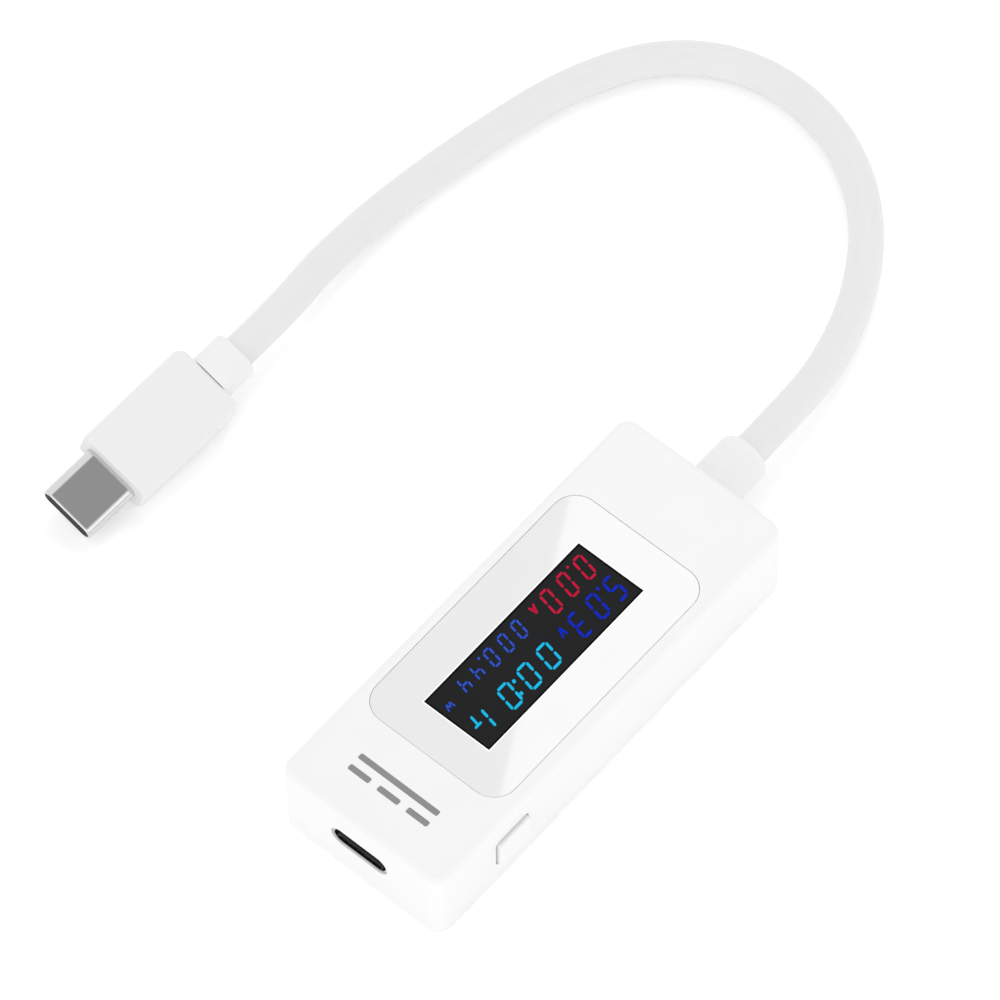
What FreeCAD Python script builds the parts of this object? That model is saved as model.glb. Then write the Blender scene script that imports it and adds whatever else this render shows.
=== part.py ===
import FreeCAD, Part
import math
import os
from FreeCAD import Placement, Rotation, Vector

# Inline USB-C power meter, in millimetres.
# Origin: centre of the flat bottom. +Z is up, +Y runs along the case towards the cord,
# the socket is on the -Y end and the push button on the +X side.

# ---- case -------------------------------------------------------------------
case_length = 66.4
case_width = 26.0
case_height = 13.4
case_corner_radius = 2.0
case_top_radius = 1.0
case_foot_radius = 0.4
wall = 1.6
roof_thickness = 1.8
rim_wall = 0.8
base_thickness = 1.5
base_gap = 0.08

# ---- printed window panel, set flush in the roof ----------------------------
window_width = 22.5
window_length = 40.8
window_corner_radius = 3.4
window_thickness = 0.6
window_edge_radius = 0.06
window_gap = 0.05
window_center_y = 0.3
display_center_y = 0.1
tape_thickness = 0.1
tape_width = 2.4
aperture_width = 10.6
aperture_length = 29.6
aperture_chamfer = 0.05

# ---- segment display --------------------------------------------------------
polariser_thickness = 0.6
polariser_gap = 0.06
glass_margin = 1.3
glass_thickness = 0.5
glass_air_gap = 0.05
glass_ledge = 1.8
roof_glass_gap = 0.2
rear_polariser_thickness = 0.2
guide_thickness = 2.2
guide_margin = 0.8
tray_wall = 0.6
tray_gap = 0.1
led_length = 3.0
led_depth = 1.2
led_offset_x = 3.6
display_pin_count = 12
display_pin_pitch = 0.95
display_pin_radius = 0.2
pin_tail = 0.6

# ---- circuit board ----------------------------------------------------------
board_thickness = 1.2
board_side_gap = 0.5
board_front_gap = 0.3
wire_bay_length = 7.8
board_hole_clearance = 0.08
post_radius = 1.6
post_pin_radius = 0.6
post_inset_x = 2.6
post_inset_front = 3.0
post_inset_rear = 2.6
clamp_post_radius = 1.3
clamp_post_gap = 0.05
lead_hole_clearance = 0.12
notch_clearance = 0.9
crystal_width = 3.2
crystal_height = 1.2
crystal_length = 3.4
crystal_y = 2.2

# ---- USB-C socket (standard receptacle) -------------------------------------
port_z = 7.15
port_opening_width = 8.34
port_opening_height = 2.56
port_shell_wall = 0.3
port_length = 7.3
port_recess = 0.2
port_panel_gap = 0.08
port_rear_block = 3.0
tongue_width = 6.69
tongue_thickness = 0.7
tongue_setback = 1.0
contact_pitch = 0.5
contact_width = 0.25
contact_height = 0.06
contact_setback = 0.6
contacts_per_row = 12
shell_leg_length = 0.9
shell_leg_tail = 0.35
shell_leg_offsets = (1.1, 5.2)
lead_width = 0.22
lead_thickness = 0.12
lead_foot = 0.9

# ---- push button and tact switch --------------------------------------------
button_y = -19.4
button_z = 6.3
button_width = 5.8
button_height = 5.0
button_corner_radius = 0.5
button_proud = 0.6
button_edge_radius = 0.25
button_gap = 0.2
flange_lip = 0.7
flange_thickness = 0.7
flange_gap = 0.05
button_travel = 0.3
stem_size = 1.6
stem_gap = 0.05
switch_width = 4.5
switch_depth = 3.2
switch_height = 3.5
switch_cover_thickness = 0.25
switch_wall = 0.55
plunger_width = 2.4
plunger_height = 1.3
plunger_reach = 0.9
plunger_flange = 0.3
plunger_flange_thickness = 0.7
plunger_fit = 0.08
nub_radius = 0.4
dome_radius = 1.05
dome_rise = 0.45
dome_thickness = 0.1
dome_gap = 0.05
terminal_width = 0.5
terminal_reach = 0.8
terminal_thickness = 0.2

# ---- base plate snaps and ribs ----------------------------------------------
hook_length = 5.0
hook_thickness = 0.9
hook_height = 2.4
hook_gap = 0.1
barb_depth = 0.4
barb_height = 0.8
pocket_clearance = 0.15
hook_places_y = (-8.0, 15.0)
rib_thickness = 1.2
rib_half_width = 7.0
rib_gap = 0.2

# ---- cord, its strain relief and its inner leads ----------------------------
cord_diameter = 4.6
cord_exit_z = 6.7
relief_diameter = 7.15
relief_length = 8.4
relief_end_radius = 1.2
relief_hole_gap = 0.05
relief_flange_width = 9.6
relief_flange_height = 8.4
relief_flange_thickness = 1.6
relief_flange_gap = 0.05
inner_end_length = 3.0
lead_wire_radius = 0.45
lead_wire_ring = 1.5
lead_wire_step = 40
lead_wire_drop = 0.3
lead_straight = 1.0
solder_radius = 0.75
solder_height = 0.55
pad_pitch = 2.0
pad_inset = 1.6

# ---- USB-C plug --------------------------------------------------------------
plug_shell_width = 8.25
plug_shell_height = 2.4
plug_shell_wall = 0.3
plug_shell_reach = 8.2
plug_shell_buried = 2.2
plug_lip_radius = 0.25
overmold_width = 10.9
overmold_length = 17.5
overmold_height = 6.0
overmold_side_radius = 0.8
overmold_corner_radius = 1.5
overmold_end_radius = 0.25
plug_relief_width = 6.5
plug_relief_height = 5.7
plug_relief_length = 5.1
plug_relief_side_radius = 1.9
plug_relief_end_radius = 0.5
shield_width = 8.9
shield_height = 3.8
shield_length = 10.4
shield_wall = 0.2
plug_board_thickness = 0.7
plug_board_width = 8.0
plug_board_length = 8.6
plug_insert_gap = 0.02
plug_cavity_width = 6.8
plug_cavity_height = 0.95
core_radius = 0.42
core_count = 4
plug_tip = Vector(-60.94, -19.39, 3.74)
plug_turn = 177.1
plug_pitch = -4.0
plug_roll = -17.7

# The cord's route on the table: straight runs from point to point, corners rounded.
# The first and last points are the ends at the two strain reliefs, added below.
cord_route = (
    Vector(0.0, 49.4, 6.7),
    Vector(-1.6, 59.2, 3.4),
    Vector(-5.6, 71.3, 2.32),
    Vector(-13.0, 82.0, 2.32),
    Vector(-24.5, 89.0, 2.32),
    Vector(-37.8, 89.6, 2.32),
    Vector(-48.5, 83.5, 2.32),
    Vector(-55.0, 72.0, 2.32),
    Vector(-58.4, 58.0, 2.32),
    Vector(-60.9, 43.0, 2.32),
    Vector(-60.9, 30.0, 3.9),
)

# ---- sizes that follow from the ones above -----------------------------------
half_length = case_length / 2
half_width = case_width / 2
inner_half_length = half_length - wall
inner_half_width = half_width - wall
roof_bottom = case_height - roof_thickness
window_bottom = case_height - window_thickness
pocket_bottom = window_bottom - tape_thickness

port_shell_width = port_opening_width + 2 * port_shell_wall
port_shell_height = port_opening_height + 2 * port_shell_wall
port_front_y = -half_length + port_recess
port_rear_y = port_front_y + port_length

board_top = port_z - port_shell_height / 2
board_bottom = board_top - board_thickness
board_half_width = inner_half_width - board_side_gap
board_front_y = -inner_half_length + board_front_gap
board_rear_y = inner_half_length - wire_bay_length
post_x = board_half_width - post_inset_x
post_places = [
    (side * post_x, y)
    for side in (-1, 1)
    for y in (board_front_y + post_inset_front, board_rear_y - post_inset_rear)
]

glass_width = aperture_width + 2 * glass_margin
front_glass_length = aperture_length + 2 * glass_margin
front_glass_top = window_bottom - glass_air_gap
rear_glass_top = front_glass_top - glass_thickness
rear_glass_bottom = rear_glass_top - glass_thickness
guide_top = rear_glass_bottom - rear_polariser_thickness
guide_bottom = guide_top - guide_thickness
guide_half_width = glass_width / 2 - guide_margin
guide_half_length = front_glass_length / 2 - guide_margin
tray_half_width = guide_half_width + tray_gap + tray_wall
tray_half_length = guide_half_length + tray_gap + tray_wall
tray_bottom = guide_bottom - tray_wall
display_pin_y = display_center_y - front_glass_length / 2 - glass_ledge / 2
display_pin_places = [
    (i - (display_pin_count - 1) / 2) * display_pin_pitch for i in range(display_pin_count)
]

flange_outer_x = inner_half_width - flange_gap
flange_inner_x = flange_outer_x - flange_thickness
flange_half_width = button_width / 2 + flange_lip
flange_half_height = button_height / 2 + flange_lip
plunger_z = board_top + switch_height / 2
plunger_tip_x = flange_inner_x - stem_size / 2
switch_front_x = plunger_tip_x - plunger_reach
switch_rear_x = switch_front_x - switch_cover_thickness - switch_depth
switch_body_front_x = switch_front_x - switch_cover_thickness
board_notch_x = flange_inner_x - button_travel - notch_clearance
board_notch_half = flange_half_width + button_travel

relief_flange_front_y = inner_half_length - relief_flange_gap
relief_flange_rear_y = relief_flange_front_y - relief_flange_thickness
cord_start = Vector(0, half_length + relief_length, cord_exit_z)
inner_end_y = relief_flange_rear_y - inner_end_length

parts = {}


# ---- small geometry helpers ---------------------------------------------------
def block(x0, x1, y0, y1, z0, z1):
    return Part.makeBox(x1 - x0, y1 - y0, z1 - z0, Vector(x0, y0, z0))


def centred(width, length, z0, z1, x=0.0, y=0.0):
    return block(x - width / 2, x + width / 2, y - length / 2, y + length / 2, z0, z1)


def rod(radius, base, direction, length):
    return Part.makeCylinder(radius, length, base, direction)


def runs_along(edge, axis):
    if not isinstance(edge.Curve, Part.Line):
        return False
    return abs(abs(edge.Curve.Direction.dot(axis)) - 1) < 1e-6


def fillet_where(shape, radius, wanted):
    return shape.makeFillet(radius, [e for e in shape.Edges if wanted(e)])


def rounded_plate(width, length, z0, z1, radius, x=0.0, y=0.0):
    plate = centred(width, length, z0, z1, x, y)
    return fillet_where(plate, radius, lambda e: runs_along(e, Vector(0, 0, 1)))


def edge_at(edge, axis, value, reach=1e-4):
    box = edge.BoundBox
    low = (box.XMin, box.YMin, box.ZMin)[axis]
    high = (box.XMax, box.YMax, box.ZMax)[axis]
    return abs(low - value) < reach and abs(high - value) < reach


def stadium(width, height, y0, y1, z, x=0.0):
    """A flat bar along Y with fully round sides."""
    radius = height / 2
    reach = width / 2 - radius
    middle = block(x - reach, x + reach, y0, y1, z - radius, z + radius)
    ends = [rod(radius, Vector(x + side * reach, y0, z), Vector(0, 1, 0), y1 - y0) for side in (-1, 1)]
    return middle.fuse(ends).removeSplitter()


def tube(points, radius, label):
    """A round tube along straight runs joined by tangent arcs, each as large as its runs allow."""
    points = [Vector(p) for p in points]
    edges = []
    radii = []
    start = points[0]
    for before, corner, after in zip(points, points[1:], points[2:]):
        to_corner = corner - before
        to_after = after - corner
        half_turn = to_corner.getAngle(to_after) / 2
        reach = 0.45 * min(to_corner.Length, to_after.Length)
        radii.append(reach / math.tan(half_turn))
        enter = corner - Vector(to_corner).normalize() * reach
        leave = corner + Vector(to_after).normalize() * reach
        bisector = (enter + leave) / 2 - corner
        centre = corner + bisector.normalize() * (reach / math.sin(half_turn))
        middle = centre + (corner - centre).normalize() * radii[-1]
        edges.append(Part.LineSegment(start, enter).toShape())
        edges.append(Part.Arc(enter, middle, leave).toShape())
        start = leave
    edges.append(Part.LineSegment(start, points[-1]).toShape())
    path = Part.Wire(edges)
    ring = Part.Wire([Part.makeCircle(radius, points[0], points[1] - points[0])])
    solid = path.makePipeShell([ring], True, False)
    expected = math.pi * radius * radius * path.Length
    print(
        f"{label}: {path.Length:.1f} mm, bend radii",
        " ".join(f"{r:.1f}" for r in radii),
        f"volume ratio {solid.Volume / expected:.4f}",
    )
    return solid


def keep(name, shape):
    parts[name] = shape


# ---- case ----------------------------------------------------------------------
def make_top_cover():
    outer = rounded_plate(case_width, case_length, 0, case_height, case_corner_radius)
    outer = fillet_where(outer, case_top_radius, lambda e: edge_at(e, 2, case_height))
    outer = fillet_where(outer, case_foot_radius, lambda e: edge_at(e, 2, 0))
    inner_radius = max(case_corner_radius - wall, 0.3)
    room = rounded_plate(2 * inner_half_width, 2 * inner_half_length, -1, roof_bottom, inner_radius)
    rim_radius = case_corner_radius - rim_wall
    rebate = rounded_plate(case_width - 2 * rim_wall, case_length - 2 * rim_wall, -1, base_thickness, rim_radius)
    pocket = rounded_plate(
        window_width + 2 * window_gap,
        window_length + 2 * window_gap,
        pocket_bottom,
        case_height + 1,
        window_corner_radius + window_gap,
        y=window_center_y,
    )
    glass_hole = block(
        -glass_width / 2 - roof_glass_gap,
        glass_width / 2 + roof_glass_gap,
        display_center_y - front_glass_length / 2 - glass_ledge - roof_glass_gap,
        display_center_y + front_glass_length / 2 + roof_glass_gap,
        roof_bottom - 1,
        case_height,
    )
    port_hole = stadium(
        port_shell_width + 2 * port_panel_gap,
        port_shell_height + 2 * port_panel_gap,
        -half_length - 1,
        -inner_half_length + 1,
        port_z,
    )
    button_hole = button_prism(half_width - wall - 1, half_width + 1, button_gap)
    relief_hole = rod(
        relief_diameter / 2 + relief_hole_gap,
        Vector(0, inner_half_length - 1, cord_exit_z),
        Vector(0, 1, 0),
        wall + 2,
    )
    cover = outer.cut([room, rebate, pocket, glass_hole, port_hole, button_hole, relief_hole])
    cover = cover.cut([make_hook_pocket(side, y) for side in (-1, 1) for y in hook_places_y])
    posts = [
        rod(clamp_post_radius, Vector(x, y, board_top + clamp_post_gap), Vector(0, 0, 1),
            roof_bottom - board_top - clamp_post_gap + roof_thickness / 2)
        for x, y in post_places
    ]
    rib = block(
        -rib_half_width,
        rib_half_width,
        relief_flange_rear_y - rib_gap - rib_thickness,
        relief_flange_rear_y - rib_gap,
        cord_exit_z + cord_diameter / 2 + rib_gap,
        roof_bottom + roof_thickness / 2,
    )
    return cover.fuse(posts + [rib]).removeSplitter()


def make_hook_pocket(side, y):
    inner = side * (inner_half_width - pocket_clearance)
    outer = side * (inner_half_width - hook_gap + barb_depth + pocket_clearance)
    half = hook_length / 2 + pocket_clearance
    top = base_thickness + hook_height + pocket_clearance
    bottom = base_thickness + hook_height - barb_height - pocket_clearance
    return block(min(inner, outer), max(inner, outer), y - half, y + half, bottom, top)


def make_base_plate():
    width = case_width - 2 * (rim_wall + base_gap)
    length = case_length - 2 * (rim_wall + base_gap)
    plate = rounded_plate(width, length, 0, base_thickness, case_corner_radius - rim_wall - base_gap)
    plate = fillet_where(plate, base_gap, lambda e: edge_at(e, 2, 0))
    additions = []
    for x, y in post_places:
        additions.append(rod(post_radius, Vector(x, y, base_thickness / 2), Vector(0, 0, 1),
                             board_bottom - base_thickness / 2))
        additions.append(rod(post_pin_radius, Vector(x, y, board_bottom - 0.5), Vector(0, 0, 1),
                             board_thickness + 0.4))
    for side in (-1, 1):
        for y in hook_places_y:
            additions.append(make_hook(side, y))
    additions.append(
        block(
            -rib_half_width,
            rib_half_width,
            relief_flange_rear_y - rib_gap - rib_thickness,
            relief_flange_rear_y - rib_gap,
            base_thickness / 2,
            cord_exit_z - cord_diameter / 2 - rib_gap,
        )
    )
    return plate.fuse(additions).removeSplitter()


def make_hook(side, y):
    """A snap arm on the base plate, with a barb whose upper face is sloped for assembly."""
    outer = inner_half_width - hook_gap
    top = base_thickness + hook_height
    profile = [
        Vector(outer - hook_thickness, 0, base_thickness / 2),
        Vector(outer, 0, base_thickness / 2),
        Vector(outer, 0, top - barb_height),
        Vector(outer + barb_depth, 0, top - barb_height),
        Vector(outer, 0, top),
        Vector(outer - hook_thickness, 0, top),
    ]
    profile = [Vector(side * p.x, y - hook_length / 2, p.z) for p in profile]
    face = Part.Face(Part.makePolygon(profile + profile[:1]))
    return face.extrude(Vector(0, hook_length, 0))


# ---- window and display -----------------------------------------------------------
def make_window_panel():
    panel = rounded_plate(
        window_width, window_length, window_bottom, case_height, window_corner_radius, y=window_center_y
    )
    panel = fillet_where(panel, window_edge_radius, lambda e: edge_at(e, 2, case_height))
    hole = centred(aperture_width, aperture_length, window_bottom - 1, case_height + 1, y=display_center_y)
    panel = panel.cut(hole)

    def aperture_rim(edge):
        box = edge.BoundBox
        inside = abs(box.Center.x) < aperture_width / 2 + 0.01
        inside = inside and abs(box.Center.y - display_center_y) < aperture_length / 2 + 0.01
        return inside and edge_at(edge, 2, case_height)

    return panel.makeChamfer(aperture_chamfer, [e for e in panel.Edges if aperture_rim(e)])


def make_window_tape():
    outer = rounded_plate(
        window_width, window_length, pocket_bottom, window_bottom, window_corner_radius, y=window_center_y
    )
    inner = rounded_plate(
        window_width - 2 * tape_width,
        window_length - 2 * tape_width,
        pocket_bottom - 1,
        window_bottom + 1,
        window_corner_radius - tape_width,
        y=window_center_y,
    )
    return outer.cut(inner)


def make_front_polariser():
    return centred(
        aperture_width - 2 * polariser_gap,
        aperture_length - 2 * polariser_gap,
        front_glass_top,
        front_glass_top + polariser_thickness,
        y=display_center_y,
    )


def make_front_glass():
    return centred(glass_width, front_glass_length, rear_glass_top, front_glass_top, y=display_center_y)


def make_rear_glass():
    return centred(
        glass_width,
        front_glass_length + glass_ledge,
        rear_glass_bottom,
        rear_glass_top,
        y=display_center_y - glass_ledge / 2,
    )


def make_rear_polariser():
    return centred(
        2 * guide_half_width, 2 * guide_half_length, guide_top, rear_glass_bottom, y=display_center_y
    )


def led_front_y():
    return display_center_y + guide_half_length - led_depth


def make_light_guide():
    return block(
        -guide_half_width,
        guide_half_width,
        display_center_y - guide_half_length,
        led_front_y() - tray_gap,
        guide_bottom,
        guide_top,
    )


def make_backlight_leds():
    leds = []
    for side in (-1, 1):
        leds.append(
            centred(led_length, led_depth, guide_bottom, guide_top - tray_gap,
                    side * led_offset_x, led_front_y() + led_depth / 2)
        )
    return Part.makeCompound(leds)


def make_display_tray():
    tray = centred(2 * tray_half_width, 2 * tray_half_length, tray_bottom, guide_top, y=display_center_y)
    room = centred(
        2 * (guide_half_width + tray_gap),
        2 * (guide_half_length + tray_gap),
        guide_bottom,
        guide_top + 1,
        y=display_center_y,
    )
    tray = tray.cut(room)
    legs = []
    for side in (-1, 1):
        for end in (-1, 1):
            x = side * (tray_half_width - tray_wall)
            y = display_center_y + end * (tray_half_length - tray_wall)
            legs.append(centred(2 * tray_wall, 2 * tray_wall, board_top, tray_bottom + tray_wall / 2, x, y))
    return tray.fuse(legs).removeSplitter()


def make_display_pins():
    low = board_bottom - pin_tail
    pins = [
        rod(display_pin_radius, Vector(x, display_pin_y, low), Vector(0, 0, 1), rear_glass_bottom - low)
        for x in display_pin_places
    ]
    return Part.makeCompound(pins)


# ---- board ----------------------------------------------------------------------------
def shell_leg(side, offset, grow=0.0):
    outer = port_shell_width / 2
    inner = outer - port_shell_wall
    y = port_front_y + offset + shell_leg_length / 2
    low = board_bottom - shell_leg_tail - grow
    return block(
        min(side * inner, side * outer) - grow,
        max(side * inner, side * outer) + grow,
        y - shell_leg_length / 2 - grow,
        y + shell_leg_length / 2 + grow,
        low,
        port_z,
    )


def leg_places():
    front = board_front_y - port_front_y
    return [(side, offset + front) for side in (-1, 1) for offset in shell_leg_offsets]


def make_main_board():
    board = block(
        -board_half_width, board_half_width, board_front_y, board_rear_y, board_bottom, board_top
    )
    cuts = [
        block(board_notch_x, board_half_width + 1, button_y - board_notch_half, button_y + board_notch_half,
              board_bottom - 1, board_top + 1)
    ]
    for x, y in post_places:
        cuts.append(rod(post_pin_radius + board_hole_clearance, Vector(x, y, board_bottom - 1),
                        Vector(0, 0, 1), board_thickness + 2))
    for x in display_pin_places:
        cuts.append(rod(display_pin_radius + lead_hole_clearance, Vector(x, display_pin_y, board_bottom - 1),
                        Vector(0, 0, 1), board_thickness + 2))
    for side, offset in leg_places():
        cuts.append(shell_leg(side, offset, lead_hole_clearance))
    return board.cut(cuts)


def chip(x, y, width, length, height, pins_per_side, pitch, both_axes=False):
    """A chip body and its gull-wing leads, as (body, leads)."""
    body = centred(width, length, board_top + 0.1, board_top + height, x, y)
    body = body.makeChamfer(0.12, [e for e in body.Edges if edge_at(e, 2, board_top + height)])
    leads = []
    for i in range(pins_per_side):
        along = (i - (pins_per_side - 1) / 2) * pitch
        for side in (-1, 1):
            leads.append(chip_lead(x + side * width / 2, y + along, Vector(side, 0, 0), height))
            if both_axes:
                leads.append(chip_lead(x + along, y + side * length / 2, Vector(0, side, 0), height))
    return body, leads


def chip_lead(x, y, out, height):
    """One lead: a shelf out of the body, a leg and a foot on the board."""
    across = Vector(-out.y, out.x, 0) * (lead_width / 2)
    shelf = 0.35
    top = board_top + height / 2
    profile = [
        (0.0, top), (shelf, top), (shelf, board_top + lead_thickness), (2 * shelf, board_top + lead_thickness),
        (2 * shelf, board_top), (shelf - lead_thickness, board_top),
        (shelf - lead_thickness, top - lead_thickness), (0.0, top - lead_thickness),
    ]
    base = Vector(x, y, 0) - across
    points = [base + out * reach + Vector(0, 0, z) for reach, z in profile]
    face = Part.Face(Part.makePolygon(points + points[:1]))
    return face.extrude(across * 2)


def make_chips():
    controller, controller_leads = chip(0.0, -6.0, 7.0, 7.0, 1.4, 8, 0.8, both_axes=True)
    memory, memory_leads = chip(-7.7, -22.6, 3.9, 4.9, 1.5, 4, 1.27)
    regulator, regulator_leads = chip(6.9, -11.0, 1.6, 2.9, 1.2, 3, 0.95)
    switch_fet, fet_leads = chip(-4.2, 8.6, 3.9, 4.9, 1.5, 4, 1.27)
    keep("controller_chip", controller)
    keep("memory_chip", memory)
    keep("regulator_chip", regulator)
    keep("amplifier_chip", switch_fet)
    keep("chip_leads", Part.makeCompound(controller_leads + memory_leads + regulator_leads + fet_leads))


def make_shunt_resistor():
    """A low-value current shunt: a flat metal strip with two raised soldering ends."""
    x, y, length, width, thickness = 4.2, 9.4, 6.4, 3.2, 0.7
    lift = 0.25
    strip = centred(width, length, board_top + lift, board_top + lift + thickness, x, y)
    ends = [
        centred(width, 1.4, board_top, board_top + lift + thickness, x, y + side * (length - 1.4) / 2)
        for side in (-1, 1)
    ]
    return strip.fuse(ends).removeSplitter()


def two_ended(places, length, width, height, cap):
    """Small two-terminal parts as (bodies, end caps), each place being (x, y, along_x)."""
    bodies = []
    caps = []
    for x, y, along_x in places:
        size = (length, width) if along_x else (width, length)
        inner = (length - 2 * cap, width) if along_x else (width, length - 2 * cap)
        bodies.append(centred(inner[0], inner[1], board_top, board_top + height, x, y))
        for side in (-1, 1):
            shift = side * (length - cap) / 2
            cx, cy = (x + shift, y) if along_x else (x, y + shift)
            cap_size = (cap, width) if along_x else (width, cap)
            caps.append(centred(cap_size[0], cap_size[1], board_top, board_top + height, cx, cy))
    return bodies, caps


def make_small_parts():
    capacitors, capacitor_caps = two_ended(
        [(-8.6, -8.6, False), (-8.6, -4.6, False), (6.9, -7.2, True), (7.4, -4.4, True),
         (-2.2, -22.6, True), (2.6, -22.6, True), (0.6, 16.8, True)],
        2.0, 1.25, 1.1, 0.4,
    )
    resistors, resistor_caps = two_ended(
        [(-6.4, -1.0, True), (-6.4, 0.8, True), (-6.4, 2.6, True), (6.4, -1.0, True), (6.4, 0.8, True),
         (6.4, 2.6, True), (-2.4, -12.6, False), (0.0, -12.6, False), (2.4, -12.6, False),
         (-7.2, 16.8, True), (-3.6, 16.8, True)],
        1.6, 0.8, 0.5, 0.3,
    )
    keep("capacitors", Part.makeCompound(capacitors))
    keep("resistors", Part.makeCompound(resistors))
    keep("solder_caps", Part.makeCompound(capacitor_caps + resistor_caps))


def make_crystal():
    """A quartz crystal: an oval can lying on the board."""
    return stadium(crystal_width, crystal_height, crystal_y, crystal_y + crystal_length,
                   board_top + crystal_height / 2)


# ---- socket -----------------------------------------------------------------------------
def make_port_shell():
    outer = stadium(port_shell_width, port_shell_height, port_front_y, port_rear_y, port_z)
    inner = stadium(port_opening_width, port_opening_height, port_front_y - 1, port_rear_y + 1, port_z)
    legs = [shell_leg(side, offset) for side, offset in leg_places()]
    return outer.fuse(legs).cut(inner).removeSplitter()


def make_port_insulator():
    block_front = port_rear_y - port_rear_block
    rear = stadium(port_opening_width, port_opening_height, block_front, port_rear_y, port_z)
    tongue = block(
        -tongue_width / 2,
        tongue_width / 2,
        port_front_y + tongue_setback,
        block_front + 1,
        port_z - tongue_thickness / 2,
        port_z + tongue_thickness / 2,
    )
    front = port_front_y + tongue_setback
    tongue = fillet_where(
        tongue,
        tongue_thickness / 3,
        lambda e: edge_at(e, 1, front) and runs_along(e, Vector(1, 0, 0)),
    )
    return rear.fuse(tongue).removeSplitter()


def contact_places():
    return [(i - (contacts_per_row - 1) / 2) * contact_pitch for i in range(contacts_per_row)]


def make_port_contacts():
    y0 = port_front_y + tongue_setback + contact_setback
    y1 = port_rear_y - port_rear_block
    strips = []
    for x in contact_places():
        for side in (-1, 1):
            face = port_z + side * tongue_thickness / 2
            z0, z1 = sorted((face, face + side * contact_height))
            strips.append(block(x - contact_width / 2, x + contact_width / 2, y0, y1, z0, z1))
    return Part.makeCompound(strips)


def make_port_leads():
    leads = []
    for x in contact_places():
        upright = block(x - lead_width / 2, x + lead_width / 2, port_rear_y, port_rear_y + lead_thickness,
                        board_top, port_z)
        foot = block(x - lead_width / 2, x + lead_width / 2, port_rear_y, port_rear_y + lead_foot,
                     board_top, board_top + lead_thickness)
        leads.append(upright.fuse(foot).removeSplitter())
    return Part.makeCompound(leads)


# ---- button and switch ----------------------------------------------------------------------
def button_prism(x0, x1, grow=0.0):
    half_w = button_width / 2 + grow
    half_h = button_height / 2 + grow
    prism = block(x0, x1, button_y - half_w, button_y + half_w, button_z - half_h, button_z + half_h)
    return fillet_where(prism, button_corner_radius + grow, lambda e: runs_along(e, Vector(1, 0, 0)))


def make_button_cap():
    front = half_width + button_proud
    cap = button_prism(flange_inner_x, front)
    cap = fillet_where(cap, button_edge_radius, lambda e: edge_at(e, 0, front))
    flange = block(
        flange_inner_x,
        flange_outer_x,
        button_y - flange_half_width,
        button_y + flange_half_width,
        button_z - flange_half_height,
        button_z + flange_half_height,
    )
    stem = block(
        plunger_tip_x + stem_gap,
        flange_inner_x + flange_thickness / 2,
        button_y - stem_size / 2,
        button_y + stem_size / 2,
        plunger_z - stem_size / 2,
        plunger_z + stem_size / 2,
    )
    return cap.fuse([flange, stem]).removeSplitter()


def switch_block(x0, x1, inset=0.0):
    half = switch_width / 2 - inset
    return block(x0, x1, button_y - half, button_y + half, board_top + inset, board_top + switch_height - inset)


def make_switch_body():
    body = switch_block(switch_rear_x, switch_body_front_x)
    room = switch_block(switch_rear_x + switch_wall, switch_body_front_x + 1, switch_wall)
    return body.cut(room)


def plunger_window(x0, x1, grow=0.0):
    half_w = plunger_width / 2 + grow
    half_h = plunger_height / 2 + grow
    return block(x0, x1, button_y - half_w, button_y + half_w, plunger_z - half_h, plunger_z + half_h)


def make_switch_cover():
    plate = switch_block(switch_body_front_x, switch_front_x)
    return plate.cut(plunger_window(switch_body_front_x - 1, switch_front_x + 1, plunger_fit))


def dome_apex_x():
    return switch_rear_x + switch_wall + dome_rise


def make_switch_plunger():
    flange_front = switch_body_front_x - plunger_fit
    flange_rear = flange_front - plunger_flange_thickness
    flange = plunger_window(flange_rear, flange_front, plunger_flange)
    nose = plunger_window(flange_rear, plunger_tip_x)
    nub_tip = dome_apex_x() + dome_gap
    nub = rod(nub_radius, Vector(nub_tip, button_y, plunger_z), Vector(1, 0, 0), flange_rear - nub_tip + 0.2)
    return flange.fuse([nose, nub]).removeSplitter()


def make_switch_dome():
    """A thin snap dome: the shell between two spheres, cut off at its rim."""
    seat = switch_rear_x + switch_wall
    outer_radius = (dome_radius ** 2 + dome_rise ** 2) / (2 * dome_rise)
    centre = Vector(seat + dome_rise - outer_radius, button_y, plunger_z)
    shell = Part.makeSphere(outer_radius, centre).cut(Part.makeSphere(outer_radius - dome_thickness, centre))
    side = 4 * outer_radius
    front = block(seat, seat + side, button_y - side, button_y + side, plunger_z - side, plunger_z + side)
    return shell.common(front)


def make_switch_terminals():
    legs = []
    for side in (-1, 1):
        for x in (switch_rear_x + terminal_width, switch_body_front_x - 2 * terminal_width):
            y0 = button_y + side * switch_width / 2
            y1 = y0 + side * terminal_reach
            legs.append(block(x, x + terminal_width, min(y0, y1), max(y0, y1), board_top,
                              board_top + terminal_thickness))
    return Part.makeCompound(legs)


# ---- cord -------------------------------------------------------------------------------------
def make_cord_relief():
    axis = Vector(0, 1, 0)
    body = rod(relief_diameter / 2, Vector(0, relief_flange_rear_y, cord_exit_z), axis,
               cord_start.y - relief_flange_rear_y)
    body = fillet_where(body, relief_end_radius, lambda e: edge_at(e, 1, cord_start.y))
    flange = block(
        -relief_flange_width / 2,
        relief_flange_width / 2,
        relief_flange_rear_y,
        relief_flange_front_y,
        cord_exit_z - relief_flange_height / 2,
        cord_exit_z + relief_flange_height / 2,
    )
    flange = fillet_where(flange, 1.0, lambda e: runs_along(e, axis))
    return body.fuse(flange).removeSplitter().cut(make_cord_inner_end())


def make_cord_inner_end():
    """The stretch of the cord's jacket that the strain relief is moulded round."""
    return rod(cord_diameter / 2, Vector(0, inner_end_y, cord_exit_z), Vector(0, 1, 0),
               cord_start.y - inner_end_y)


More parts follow.
